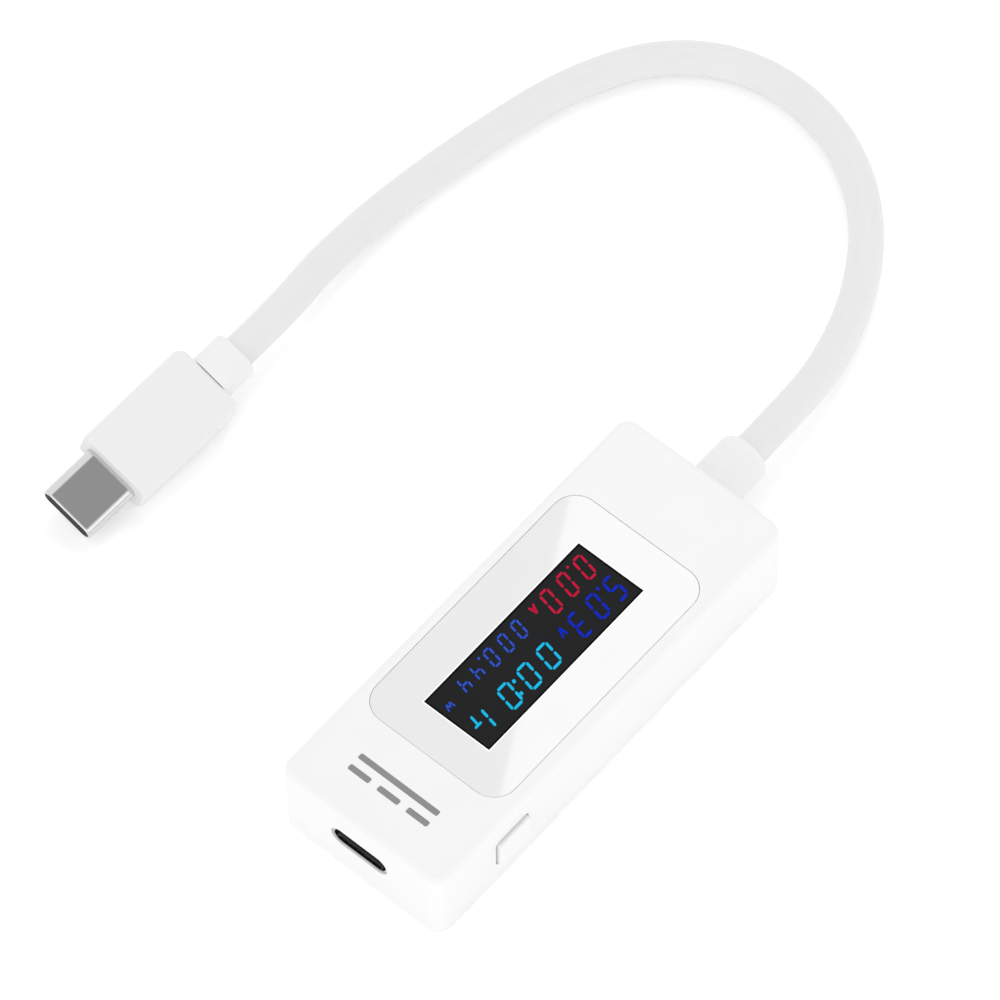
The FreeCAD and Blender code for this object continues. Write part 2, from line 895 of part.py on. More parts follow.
def lead_wires():
    """Lead name, its offset in the cord's end, and its pad's place across the board."""
    names = ("lead_power", "lead_ground", "lead_data_plus", "lead_data_minus", "lead_channel")
    wires = []
    for i, name in enumerate(names):
        spread = i - (len(names) - 1) / 2
        angle = math.radians(90 - lead_wire_step * spread)
        across = lead_wire_ring * math.cos(angle)
        offset = Vector(across, 0, lead_wire_ring * math.sin(angle) - lead_wire_drop)
        wires.append((name, offset, spread * pad_pitch))
    return wires


def make_leads():
    blobs = []
    rest_z = board_top + solder_height + lead_wire_radius
    for name, offset, pad_x in lead_wires():
        start = Vector(offset.x, inner_end_y, cord_exit_z + offset.z)
        end = Vector(pad_x, board_rear_y - pad_inset, rest_z)
        points = [
            start,
            start - Vector(0, lead_straight, 0),
            Vector(0.85 * pad_x, end.y + 1.2 * lead_straight, rest_z + 0.15),
            end,
        ]
        keep(name, tube(points, lead_wire_radius, name))
        blob = rod(solder_radius, Vector(pad_x, end.y + 0.3, board_top), Vector(0, 0, 1), solder_height)
        blobs.append(fillet_where(blob, 0.3, lambda e: edge_at(e, 2, board_top + solder_height)))
    keep("lead_solder", Part.makeCompound(blobs))


# ---- plug, modelled with its cord end at y = 0 and its tip towards +Y ----------------------------
overmold_back = plug_relief_length
overmold_front = overmold_back + overmold_length
plug_total = overmold_front + plug_shell_reach
shield_back = overmold_front - plug_shell_buried - shield_length
shield_front = overmold_front - plug_shell_buried


def plug_placement():
    turn = Rotation(Vector(0, 0, 1), plug_turn)
    pitch = Rotation(Vector(1, 0, 0), plug_pitch)
    roll = Rotation(Vector(0, 1, 0), plug_roll)
    rotation = turn.multiply(pitch).multiply(roll)
    return Placement(plug_tip - rotation.multVec(Vector(0, plug_total, 0)), rotation)


def placed(shape):
    moved = shape.copy()
    moved.Placement = plug_placement().multiply(moved.Placement)
    return moved


def make_plug_shell():
    back = overmold_front - plug_shell_buried
    outer = stadium(plug_shell_width, plug_shell_height, back, plug_total, 0)
    outer = fillet_where(outer, plug_lip_radius, lambda e: edge_at(e, 1, plug_total))
    inner = stadium(
        plug_shell_width - 2 * plug_shell_wall,
        plug_shell_height - 2 * plug_shell_wall,
        back - 1,
        plug_total + 1,
        0,
    )
    return outer.cut(inner)


def make_plug_insert():
    """The moulded insert that fills the shell, with the slot that the socket's tongue enters."""
    back = overmold_front - plug_shell_buried
    body = stadium(
        plug_shell_width - 2 * plug_shell_wall - 2 * plug_insert_gap,
        plug_shell_height - 2 * plug_shell_wall - 2 * plug_insert_gap,
        back,
        plug_total - plug_lip_radius,
        0,
    )
    slot = block(-plug_cavity_width / 2, plug_cavity_width / 2, overmold_front + 1.2, plug_total + 1,
                 -plug_cavity_height / 2, plug_cavity_height / 2)
    return body.cut(slot)


def make_plug_contacts():
    strips = []
    for x in contact_places():
        for side in (-1, 1):
            face = side * plug_cavity_height / 2
            z0, z1 = sorted((face, face - side * contact_height))
            strips.append(block(x - contact_width / 2, x + contact_width / 2, overmold_front + 1.3,
                                plug_total - 1.6, z0, z1))
    return Part.makeCompound(strips)


def make_plug_overmold():
    body = block(
        -overmold_width / 2, overmold_width / 2, overmold_back, overmold_front,
        -overmold_height / 2, overmold_height / 2,
    )
    body = fillet_where(
        body,
        overmold_corner_radius,
        lambda e: runs_along(e, Vector(0, 0, 1)) and edge_at(e, 1, overmold_back),
    )

    def long_rim(edge):
        level = edge_at(edge, 2, overmold_height / 2) or edge_at(edge, 2, -overmold_height / 2)
        return level and not edge_at(edge, 1, overmold_front) and not edge_at(edge, 1, overmold_back)

    body = fillet_where(body, overmold_side_radius, long_rim)
    body = fillet_where(body, overmold_end_radius, lambda e: edge_at(e, 1, overmold_front))
    shell_seat = stadium(plug_shell_width, plug_shell_height, shield_front - 0.5, overmold_front + 1, 0)
    shield_room = block(-shield_width / 2, shield_width / 2, shield_back, shield_front,
                        -shield_height / 2, shield_height / 2)
    return body.cut([shell_seat, shield_room, make_plug_cord_end()])


def make_plug_shield():
    outer = block(-shield_width / 2, shield_width / 2, shield_back, shield_front,
                  -shield_height / 2, shield_height / 2)
    inner = block(
        -shield_width / 2 + shield_wall,
        shield_width / 2 - shield_wall,
        shield_back - 1,
        shield_front + 1,
        -shield_height / 2 + shield_wall,
        shield_height / 2 - shield_wall,
    )
    return outer.cut(inner)


def make_plug_board():
    return block(
        -plug_board_width / 2,
        plug_board_width / 2,
        shield_front - plug_board_length,
        shield_front,
        -plug_board_thickness / 2,
        plug_board_thickness / 2,
    )


def make_plug_cores():
    cores = []
    start = shield_back
    length = shield_length - plug_board_length + 1.6
    for i in range(core_count):
        x = (i - (core_count - 1) / 2) * 1.7
        z = plug_board_thickness / 2 + core_radius
        cores.append(rod(core_radius, Vector(x, start, z), Vector(0, 1, 0), length))
    return Part.makeCompound(cores)


def make_plug_relief():
    body = block(
        -plug_relief_width / 2, plug_relief_width / 2, 0, plug_relief_length,
        -plug_relief_height / 2, plug_relief_height / 2,
    )
    body = fillet_where(body, plug_relief_side_radius, lambda e: runs_along(e, Vector(0, 1, 0)))
    return fillet_where(body, plug_relief_end_radius, lambda e: edge_at(e, 1, 0)).cut(make_plug_cord_end())


def make_plug_cord_end():
    return rod(cord_diameter / 2, Vector(0, 0, 0), Vector(0, 1, 0), shield_back)


def make_plug():
    keep("plug_shell", placed(make_plug_shell()))
    keep("plug_insert", placed(make_plug_insert()))
    keep("plug_contacts", placed(make_plug_contacts()))
    keep("plug_overmold", placed(make_plug_overmold()))
    keep("plug_shield", placed(make_plug_shield()))
    keep("plug_board", placed(make_plug_board()))
    keep("plug_cores", placed(make_plug_cores()))
    keep("plug_relief", placed(make_plug_relief()))
    keep("plug_cord_end", placed(make_plug_cord_end()))


# ---- build -----------------------------------------------------------------------------------------
def main():
    keep("top_cover", make_top_cover())
    keep("base_plate", make_base_plate())
    keep("window_panel", make_window_panel())
    keep("window_tape", make_window_tape())
    keep("display_front_polariser", make_front_polariser())
    keep("display_front_glass", make_front_glass())
    keep("display_rear_glass", make_rear_glass())
    keep("display_rear_polariser", make_rear_polariser())
    keep("display_light_guide", make_light_guide())
    keep("backlight_leds", make_backlight_leds())
    keep("display_tray", make_display_tray())
    keep("display_pins", make_display_pins())
    keep("main_board", make_main_board())
    make_chips()
    keep("shunt_resistor", make_shunt_resistor())
    make_small_parts()
    keep("crystal", make_crystal())
    keep("port_shell", make_port_shell())
    keep("port_insulator", make_port_insulator())
    keep("port_contacts", make_port_contacts())
    keep("port_leads", make_port_leads())
    keep("button_cap", make_button_cap())
    keep("switch_body", make_switch_body())
    keep("switch_cover", make_switch_cover())
    keep("switch_plunger", make_switch_plunger())
    keep("switch_dome", make_switch_dome())
    keep("switch_terminals", make_switch_terminals())
    keep("cord_relief", make_cord_relief())
    keep("cord_inner_end", make_cord_inner_end())
    make_leads()
    make_plug()

    frame = plug_placement()
    cord_end = frame.multVec(Vector(0, 0, 0))
    before_end = frame.multVec(Vector(0, -8.5, 0))
    keep("cord", tube([cord_start, *cord_route, before_end, cord_end], cord_diameter / 2, "cord"))

    os.makedirs("parts", exist_ok=True)
    for name, shape in parts.items():
        shape.exportStep(f"parts/{name}.step")
        box = shape.BoundBox
        print(
            f"{name:24s} {len(shape.Solids):3d} solids {shape.Volume:9.2f} mm3 valid {shape.isValid()}",
            f"z {box.ZMin:.2f} to {box.ZMax:.2f}",
        )
    print("cord end", *(round(v, 3) for v in cord_end), "after", *(round(v, 3) for v in before_end))
    out = frame.Rotation.multVec(Vector(0, 1, 0))
    print("plug tip", *(round(v, 3) for v in plug_tip), "axis", *(round(v, 6) for v in out))


main()
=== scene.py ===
# %% [markdown]
# # An inline USB-C power meter
# A slim white case with a segment display, a push button on its side, a socket in one end and a short
# captive cord with a plug at the other. The case, the button, the socket and the plug come from the
# frame as finished solids. This lesson adds what makes them look made: the cord, the lit segments, the
# printing and one material for every finish. Everything is in metres, in the frame's own axes:
# +Z up through the display, +Y along the case towards the cord, +X towards the push button.

# %% Load the frame and keep its box
import math

import bmesh
import bpy
from mathutils import Matrix, Vector


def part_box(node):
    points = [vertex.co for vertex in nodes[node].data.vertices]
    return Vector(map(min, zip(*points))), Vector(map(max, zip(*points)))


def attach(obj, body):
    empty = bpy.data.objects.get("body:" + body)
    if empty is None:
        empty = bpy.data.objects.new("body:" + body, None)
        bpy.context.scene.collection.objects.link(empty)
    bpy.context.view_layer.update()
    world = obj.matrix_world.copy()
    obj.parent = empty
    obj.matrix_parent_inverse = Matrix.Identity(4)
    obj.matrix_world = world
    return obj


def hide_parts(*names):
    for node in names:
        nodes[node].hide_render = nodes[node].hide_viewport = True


MM = 0.001
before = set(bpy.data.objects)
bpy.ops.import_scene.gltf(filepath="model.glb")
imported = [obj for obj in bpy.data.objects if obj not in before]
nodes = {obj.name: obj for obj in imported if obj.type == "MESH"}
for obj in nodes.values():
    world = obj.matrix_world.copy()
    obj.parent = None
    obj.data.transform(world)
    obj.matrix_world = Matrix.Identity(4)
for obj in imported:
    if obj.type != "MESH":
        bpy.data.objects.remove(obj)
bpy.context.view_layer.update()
scene = bpy.context.scene
scene.view_settings.view_transform = "Standard"

# %% [markdown]
# ## The camera
# A long lens from well above, one near corner of the case pointing at the viewer. A long lens keeps the
# long edges of a small object nearly parallel, as a studio picture of a small product does.
# The aim is a point beside the case, so that the case and the whole loop of the cord fit the frame.

# %% Camera
VIEW_AZIMUTH = math.radians(41.5)
VIEW_ELEVATION = math.radians(59.5)
VIEW_ROLL = math.radians(-1.2)
VIEW_DISTANCE = 1.1
AIM_RIGHT = -4.3 * MM
AIM_UP = 24.9 * MM
LENS_PER_METRE = 288.0
NEAREST_SEEN = 0.05
FARTHEST_SEEN = 20.0


def view_axes():
    """The camera's right, up and backward directions."""
    back = Vector((
        math.sin(VIEW_AZIMUTH) * math.cos(VIEW_ELEVATION),
        -math.cos(VIEW_AZIMUTH) * math.cos(VIEW_ELEVATION),
        math.sin(VIEW_ELEVATION),
    ))
    level = Vector((math.cos(VIEW_AZIMUTH), math.sin(VIEW_AZIMUTH), 0))
    upright = back.cross(level)
    right = level * math.cos(VIEW_ROLL) + upright * math.sin(VIEW_ROLL)
    return right, back.cross(right), back


def make_camera():
    right, up, back = view_axes()
    camera = bpy.data.cameras.new("camera")
    camera.lens = LENS_PER_METRE * VIEW_DISTANCE
    camera.clip_start = NEAREST_SEEN
    camera.clip_end = FARTHEST_SEEN
    obj = bpy.data.objects.new("camera", camera)
    place = right * AIM_RIGHT + up * AIM_UP + back * VIEW_DISTANCE
    obj.matrix_world = Matrix.Translation(place) @ Matrix((right, up, back)).transposed().to_4x4()
    scene.collection.objects.link(obj)
    scene.camera = obj
    return obj


camera = make_camera()
print("camera at", [round(v, 3) for v in camera.location], "lens", round(camera.data.lens, 1))

# %% [markdown]
# ## Floor and light
# A floor that the light brings to white, a bright even sky with one darker patch for polished metal to
# mirror, and one soft box. The soft box hangs behind the case, level with the floor. Its near edge is
# placed where the glossy window panel mirrors it, so the panel shows one straight diagonal between a
# brighter and a duller half. Two weak fills stand in front and to the side.

# %% Floor, sky and soft box
FLOOR_SIZE = 6.0
SKY_STRENGTH = 1.08
# The darker patch: where it is, how wide its even middle and its faded edge are, and its share of white.
PATCH_DIRECTION = (0.28, 0.23, 0.93)
PATCH_INNER = math.radians(10)
PATCH_OUTER = math.radians(26)
PATCH_TONE = 0.38
BOX_HEIGHT = 0.7
BOX_SIZE = 0.24
BOX_POWER = 0.5
FILL_SIZE = 0.8
FRONT_FILL_PLACE = Vector((0.35, -1.2, 0.35))
FRONT_FILL_POWER = 1.2
SIDE_FILL_PLACE = Vector((1.2, -0.1, 0.4))
SIDE_FILL_POWER = 1.0
UPWARD = Vector((0, 0, 1))


def link(obj):
    scene.collection.objects.link(obj)
    return obj


def make_floor():
    mesh = bpy.data.meshes.new("floor")
    half = FLOOR_SIZE / 2
    corners = [(-half, -half, 0), (half, -half, 0), (half, half, 0), (-half, half, 0)]
    mesh.from_pydata(corners, [], [(0, 1, 2, 3)])
    floor = link(bpy.data.objects.new("floor", mesh))
    return floor


def make_sky():
    world = bpy.data.worlds.new("soft sky")
    world.use_nodes = True
    background = world.node_tree.nodes["Background"]
    background.inputs["Strength"].default_value = SKY_STRENGTH
    tree = world.node_tree
    where = tree.nodes.new("ShaderNodeTexCoord")
    toward = tree.nodes.new("ShaderNodeVectorMath")
    toward.operation = "DOT_PRODUCT"
    toward.inputs[1].default_value = PATCH_DIRECTION
    fade = tree.nodes.new("ShaderNodeMapRange")
    fade.interpolation_type = "SMOOTHSTEP"
    fade.inputs["From Min"].default_value = math.cos(PATCH_OUTER)
    fade.inputs["From Max"].default_value = math.cos(PATCH_INNER)
    fade.inputs["To Min"].default_value = 1
    fade.inputs["To Max"].default_value = PATCH_TONE
    tree.links.new(where.outputs["Generated"], toward.inputs[0])
    tree.links.new(toward.outputs["Value"], fade.inputs["Value"])
    tree.links.new(fade.outputs["Result"], background.inputs["Color"])
    scene.world = world


def mirrored_on_window(point, height):
    """Where the camera's line of sight to a point of the window panel lands after the mirror, at a height."""
    eye = camera.matrix_world.translation
    reach = (height - point.z) / (eye.z - point.z)
    return Vector((
        point.x + (point.x - eye.x) * reach,
        point.y + (point.y - eye.y) * reach,
        height,
    ))


def square_light(name, size, power, matrix):
    light = bpy.data.lights.new(name, "AREA")
    light.shape = "SQUARE"
    light.size = size
    light.energy = power
    obj = link(bpy.data.objects.new(name, light))
    obj.matrix_world = matrix
    return obj


def fill_light(name, place, power):
    """A weak light that shines from its place at the middle of the case."""
    turn = place.to_track_quat("Z", "Y").to_matrix().to_4x4()
    return square_light(name, FILL_SIZE, power, Matrix.Translation(place) @ turn)


def make_soft_box():
    """A level soft box whose one edge the window panel mirrors along its own diagonal."""
    low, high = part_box("window_panel")
    far_left = mirrored_on_window(Vector((low.x, high.y, high.z)), BOX_HEIGHT)
    near_right = mirrored_on_window(Vector((high.x, low.y, high.z)), BOX_HEIGHT)
    along = (near_right - far_left).normalized()
    across = Vector((-along.y, along.x, 0))
    if across.x < 0:
        across = -across
    middle = (far_left + near_right) / 2 + across * BOX_SIZE / 2
    turn = Matrix((along, UPWARD.cross(along), UPWARD)).transposed().to_4x4()
    return square_light("soft box", BOX_SIZE, BOX_POWER, Matrix.Translation(middle) @ turn)


floor = make_floor()
make_sky()
soft_box = make_soft_box()
fill_light("front fill", FRONT_FILL_PLACE, FRONT_FILL_POWER)
fill_light("side fill", SIDE_FILL_PLACE, SIDE_FILL_POWER)
print("soft box at", [round(v, 3) for v in soft_box.location])

# %% [markdown]
# ## The cord
# A real cord of this kind is one moulded elastomer jacket, stiff enough to lie in one wide sweep. It is
# a single NURBS curve through a handful of listed points, with a round bevel. The curve leaves the
# case straight, comes down to the table, turns wide and climbs a little into the plug.

# %% Cord
CORD_RADIUS = 2.3 * MM
CORD_STEPS = 24
CORD_ROUNDNESS = 8
CORD_POINTS_MM = (
    (0.0, 41.6, 6.7),
    (0.0, 49.4, 6.7),
    (-1.6, 59.2, 3.4),
    (-5.6, 71.3, 2.32),
    (-13.0, 82.0, 2.32),
    (-24.5, 89.0, 2.32),
    (-37.8, 89.6, 2.32),
    (-48.5, 83.5, 2.32),
    (-55.0, 72.0, 2.32),
    (-58.4, 58.0, 2.32),
    (-60.9, 43.0, 2.32),
    (-60.9, 30.0, 3.9),
    (-58.957, 19.764, 6.481),
    (-59.386, 11.296, 5.888),
)


def make_cord():
    """The jacket. Each point carries the radius, since a curve's box grows by the radius of its points."""
    curve = bpy.data.curves.new("cord_jacket", "CURVE")
    curve.dimensions = "3D"
    spline = curve.splines.new("NURBS")
    spline.points.add(len(CORD_POINTS_MM) - 1)
    for point, place in zip(spline.points, CORD_POINTS_MM):
        point.co = (*(v * MM for v in place), 1)
        point.radius = CORD_RADIUS
    spline.order_u = 3
    spline.use_endpoint_u = True
    spline.resolution_u = CORD_STEPS
    curve.bevel_depth = 1
    curve.bevel_resolution = CORD_ROUNDNESS
    curve.use_fill_caps = True
    return link(bpy.data.objects.new("cord_jacket", curve))


cord = make_cord()
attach(cord, "housing")
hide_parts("cord")

# %% [markdown]
# ## A helper for materials
# Every finish here is a Principled shader with the same few ideas: a colour that drifts slightly between
# two tones, a roughness that drifts with it, and a fine bump. The helper wires those from noise in object
# coordinates, so each material only states its own numbers.

# %% Material helper
BLOTCH_SIZE = 6 * MM


def srgb(red, green, blue):
    """A colour given as display values from 0 to 255, as linear light."""
    def linear(value):
        value = value / 255
        return value / 12.92 if value <= 0.04045 else ((value + 0.055) / 1.055) ** 2.4

    return (linear(red), linear(green), linear(blue), 1)


def noise(tree, size, detail=2.0, stretch=(1, 1, 1), vector=None):
    """Noise whose grains are about `size` metres, in object coordinates."""
    grain = tree.nodes.new("ShaderNodeTexNoise")
    grain.inputs["Scale"].default_value = 1 / size
    grain.inputs["Detail"].default_value = detail
    if vector is None:
        vector = tree.nodes.new("ShaderNodeTexCoord").outputs["Object"]
    mapping = tree.nodes.new("ShaderNodeMapping")
    mapping.inputs["Scale"].default_value = stretch
    tree.links.new(vector, mapping.inputs["Vector"])
    tree.links.new(mapping.outputs["Vector"], grain.inputs["Vector"])
    return grain.outputs["Fac"]


def ramp(tree, value, low, high, start=0.3, end=0.7):
    """Turns noise into a colour between two tones."""
    node = tree.nodes.new("ShaderNodeValToRGB")
    node.color_ramp.elements[0].position = start
    node.color_ramp.elements[0].color = low
    node.color_ramp.elements[1].position = end
    node.color_ramp.elements[1].color = high
    tree.links.new(value, node.inputs["Fac"])
    return node.outputs["Color"]


def spread(tree, value, low, high):
    """Turns noise into a number between two limits."""
    node = tree.nodes.new("ShaderNodeMapRange")
    node.inputs["From Min"].default_value = 0.3
    node.inputs["From Max"].default_value = 0.7
    node.inputs["To Min"].default_value = low
    node.inputs["To Max"].default_value = high
    tree.links.new(value, node.inputs["Value"])
    return node.outputs["Result"]


def finish(name, colour, drift=0.03, rough=(0.4, 0.5), grain=0.15 * MM, bump=0.004 * MM,
           stretch=(1, 1, 1), **sockets):
    """One material: two close tones, drifting roughness and a fine grain. Further sockets by name."""
    material = bpy.data.materials.new(name)
    material.use_nodes = True
    tree = material.node_tree
    shader = tree.nodes["Principled BSDF"]
    blotch = noise(tree, BLOTCH_SIZE)
    dark = tuple(v * (1 - drift) for v in colour[:3]) + (1,)
    tree.links.new(ramp(tree, blotch, dark, colour), shader.inputs["Base Color"])
    grains = noise(tree, grain, stretch=stretch)
    tree.links.new(spread(tree, grains, *rough), shader.inputs["Roughness"])
    if bump:
        relief = tree.nodes.new("ShaderNodeBump")
        relief.inputs["Distance"].default_value = bump
        relief.inputs["Strength"].default_value = 1.0
        tree.links.new(grains, relief.inputs["Height"])
        tree.links.new(relief.outputs["Normal"], shader.inputs["Normal"])
    for socket, value in sockets.items():
        shader.inputs[socket.replace("_", " ")].default_value = value
    return material


def paint(names, material):
    """Gives frame nodes their finish."""
    for name in names:
        data = nodes[name].data
        data.materials.clear()
        data.materials.append(material)
    print(material.name, "on", ", ".join(names))


# %% [markdown]
# ## White mouldings
# The case, the button and the plug's body are injection-moulded white plastic with a fine spark-eroded
# texture: satin, never glossy. The strain reliefs and the cord are a softer elastomer, a touch greyer
# and with a broader highlight.

# %% White finishes
case_white = finish("case white", (0.82, 0.82, 0.82, 1), drift=0.012, rough=(0.38, 0.48),
                    grain=0.12 * MM, bump=0.0025 * MM)
plug_white = finish("plug white", (0.77, 0.77, 0.77, 1), drift=0.012, rough=(0.4, 0.5),
                    grain=0.14 * MM, bump=0.003 * MM)
relief_white = finish("relief white", (0.8, 0.8, 0.8, 1), drift=0.015, rough=(0.5, 0.6),
                      grain=0.2 * MM, bump=0.004 * MM)
jacket_white = finish("jacket white", (0.735, 0.735, 0.735, 1), drift=0.015, rough=(0.42, 0.52),
                      grain=0.25 * MM, bump=0.003 * MM)
paint(["top_cover", "base_plate", "button_cap"], case_white)
paint(["plug_overmold"], plug_white)
paint(["cord_relief", "plug_relief"], relief_white)
paint(["cord_inner_end", "plug_cord_end"], jacket_white)
cord.data.materials.append(jacket_white)

# %% [markdown]
# ## The window panel
# A printed plastic sheet: white ink under a clear, glossy face. The print sits below the surface, so the
# colour is soft white and the gloss comes from a clear coat on top of it.

# %% Window finish
window_print = finish("window print", (0.715, 0.715, 0.715, 1), drift=0.01, rough=(0.3, 0.34),
                      bump=0, Coat_Weight=1.0, Coat_Roughness=0.02)
paint(["window_panel"], window_print)

# %% [markdown]
# ## Metal
# The plug's shell and the socket's shell are deep-drawn nickel-plated steel. Drawing leaves faint lines
# along the shell, so the grain is stretched along the connector's length.

# %% Metal finishes
shell_metal = finish("drawn nickel", (0.66, 0.66, 0.665, 1), drift=0.03, rough=(0.1, 0.16),
                     grain=0.3 * MM, bump=0.0002 * MM, stretch=(1, 0.08, 1), Metallic=1.0)
tinned_metal = finish("tinned metal", (0.62, 0.62, 0.63, 1), drift=0.15, rough=(0.28, 0.45),
                      grain=0.3 * MM, bump=0.002 * MM, Metallic=1.0)
gold_plate = finish("gold plate", (0.83, 0.58, 0.22, 1), drift=0.08, rough=(0.18, 0.3),
                    grain=0.1 * MM, bump=0.001 * MM, Metallic=1.0)
shunt_alloy = finish("shunt alloy", (0.42, 0.33, 0.27, 1), drift=0.12, rough=(0.35, 0.5),
                     grain=0.15 * MM, bump=0.002 * MM, stretch=(0.1, 1, 1), Metallic=1.0)
paint(["plug_shell", "port_shell", "plug_shield", "crystal", "switch_cover", "switch_dome"], shell_metal)
paint(["chip_leads", "solder_caps", "display_pins", "port_leads", "switch_terminals", "lead_solder"],
      tinned_metal)
paint(["port_contacts", "plug_contacts"], gold_plate)
paint(["shunt_resistor"], shunt_alloy)

# %% [markdown]
# ## Inside the case
# Most of these are never seen once the case is closed, but a part that is taken apart in a render or a
# game still needs them right: a green board, black chips, tan capacitors, coloured leads.

# %% Inner finishes
insert_black = finish("insert black", (0.012, 0.012, 0.013, 1), drift=0.3, rough=(0.4, 0.55), bump=0.003 * MM)
board_green = finish("board green", (0.012, 0.10, 0.035, 1), drift=0.25, rough=(0.25, 0.35),
                     grain=0.4 * MM, bump=0.003 * MM)
chip_black = finish("chip epoxy", (0.022, 0.022, 0.024, 1), drift=0.2, rough=(0.5, 0.65), bump=0.003 * MM)
ceramic_tan = finish("capacitor ceramic", (0.36, 0.22, 0.12, 1), drift=0.15, rough=(0.4, 0.5))
ceramic_dark = finish("resistor glaze", (0.02, 0.02, 0.025, 1), drift=0.2, rough=(0.2, 0.3))
tray_white = finish("tray white", (0.8, 0.8, 0.77, 1), drift=0.03, rough=(0.45, 0.55))
guide_clear = finish("light guide", (0.85, 0.9, 0.95, 1), drift=0.02, rough=(0.08, 0.14), bump=0)
led_resin = finish("led resin", (0.85, 0.75, 0.35, 1), drift=0.1, rough=(0.2, 0.3))
tape_clear = finish("mounting tape", (0.7, 0.7, 0.66, 1), drift=0.05, rough=(0.3, 0.45))
display_glass = finish("display glass", (0.05, 0.055, 0.06, 1), drift=0.05, rough=(0.05, 0.08), bump=0)
film_black = finish("polarising film", (0.0085, 0.009, 0.0098, 1), drift=0.12, rough=(0.42, 0.5),
                    grain=0.3 * MM, bump=0, Specular_IOR_Level=0.1)
paint(["port_insulator", "plug_insert", "switch_body", "switch_plunger"], insert_black)
paint(["main_board", "plug_board"], board_green)
paint(["controller_chip", "memory_chip", "regulator_chip", "amplifier_chip"], chip_black)
paint(["capacitors"], ceramic_tan)
paint(["resistors"], ceramic_dark)
paint(["display_tray"], tray_white)
paint(["display_light_guide"], guide_clear)
paint(["backlight_leds"], led_resin)
paint(["window_tape"], tape_clear)
paint(["display_front_glass", "display_rear_glass"], display_glass)
paint(["display_front_polariser", "display_rear_polariser"], film_black)
LEAD_COLOURS = {
    "lead_power": (0.45, 0.01, 0.01, 1),
    "lead_ground": (0.01, 0.01, 0.01, 1),
    "lead_data_plus": (0.01, 0.22, 0.04, 1),
    "lead_data_minus": (0.7, 0.7, 0.7, 1),
    "lead_channel": (0.01, 0.05, 0.32, 1),
}
for name, colour in LEAD_COLOURS.items():
    paint([name], finish(name + " insulation", colour, drift=0.1, rough=(0.35, 0.5)))
paint(["plug_cores"], bpy.data.materials["lead_power insulation"])

# %% [markdown]
# ## The lit segments
# A segment display shows digits made of seven pointed bars, all leaning a little to the right, with small
# unit letters beside them. Each lit bar is the same shape in another place, which is what Geometry Nodes
# are for: a point for every bar carries its angle, length and width, the tree puts one bar on each point,
# leans the lot and gives it its colour. The readings run along the case, their tops towards the button.

# %% Which bars each character lights
# A digit is 1 wide and 2 high, counted from its middle. Each bar is (x, y, turn in degrees).
BARS = {
    "a": (0, 1, 0), "g": (0, 0, 0), "d": (0, -1, 0),
    "f": (-0.5, 0.5, 90), "b": (0.5, 0.5, 90),
    "e": (-0.5, -0.5, 90), "c": (0.5, -0.5, 90),
}
LIT = {"0": "abcdef", "1": "bc", "3": "abgcd", "4": "fgbc", "5": "afgcd"}
# The units are drawn with straight strokes from point to point, in a box from -0.5 to 0.5.
STROKES = {
    "V": (((-0.5, 0.5), (0, -0.5)), ((0, -0.5), (0.5, 0.5))),
    "A": (((-0.5, -0.5), (0, 0.5)), ((0, 0.5), (0.5, -0.5)), ((-0.25, -0.15), (0.25, -0.15))),
    "W": (((-0.5, 0.5), (-0.25, -0.5)), ((-0.25, -0.5), (0, 0.2)), ((0, 0.2), (0.25, -0.5)),
          ((0.25, -0.5), (0.5, 0.5))),
    "T": (((-0.5, 0.5), (0.5, 0.5)), ((0, 0.5), (0, -0.5))),
}
GAP = 0.16


def digit_bars(character, middle, width, height, thick):
    """The lit bars of one digit, as (x, y, turn, length, thickness), all in millimetres."""
    bars = []
    for key in LIT[character]:
        x, y, turn = BARS[key]
        size = width if turn == 0 else height / 2
        place = (middle[0] + x * width, middle[1] + y * height / 2)
        bars.append((*place, math.radians(turn), size - GAP, thick))
    return bars


def unit_bars(character, middle, width, height, thick):
    """The strokes of one unit letter, in the same form."""
    bars = []
    for start, end in STROKES[character]:
        a = Vector((middle[0] + start[0] * width, middle[1] + start[1] * height))
        b = Vector((middle[0] + end[0] * width, middle[1] + end[1] * height))
        turn = math.atan2(b.y - a.y, b.x - a.x)
        bars.append(((a.x + b.x) / 2, (a.y + b.y) / 2, turn, (b - a).length + thick * 0.5, thick))
    return bars


def dot_bar(x, y, width, height):
    return (x, y, 0, width, height)


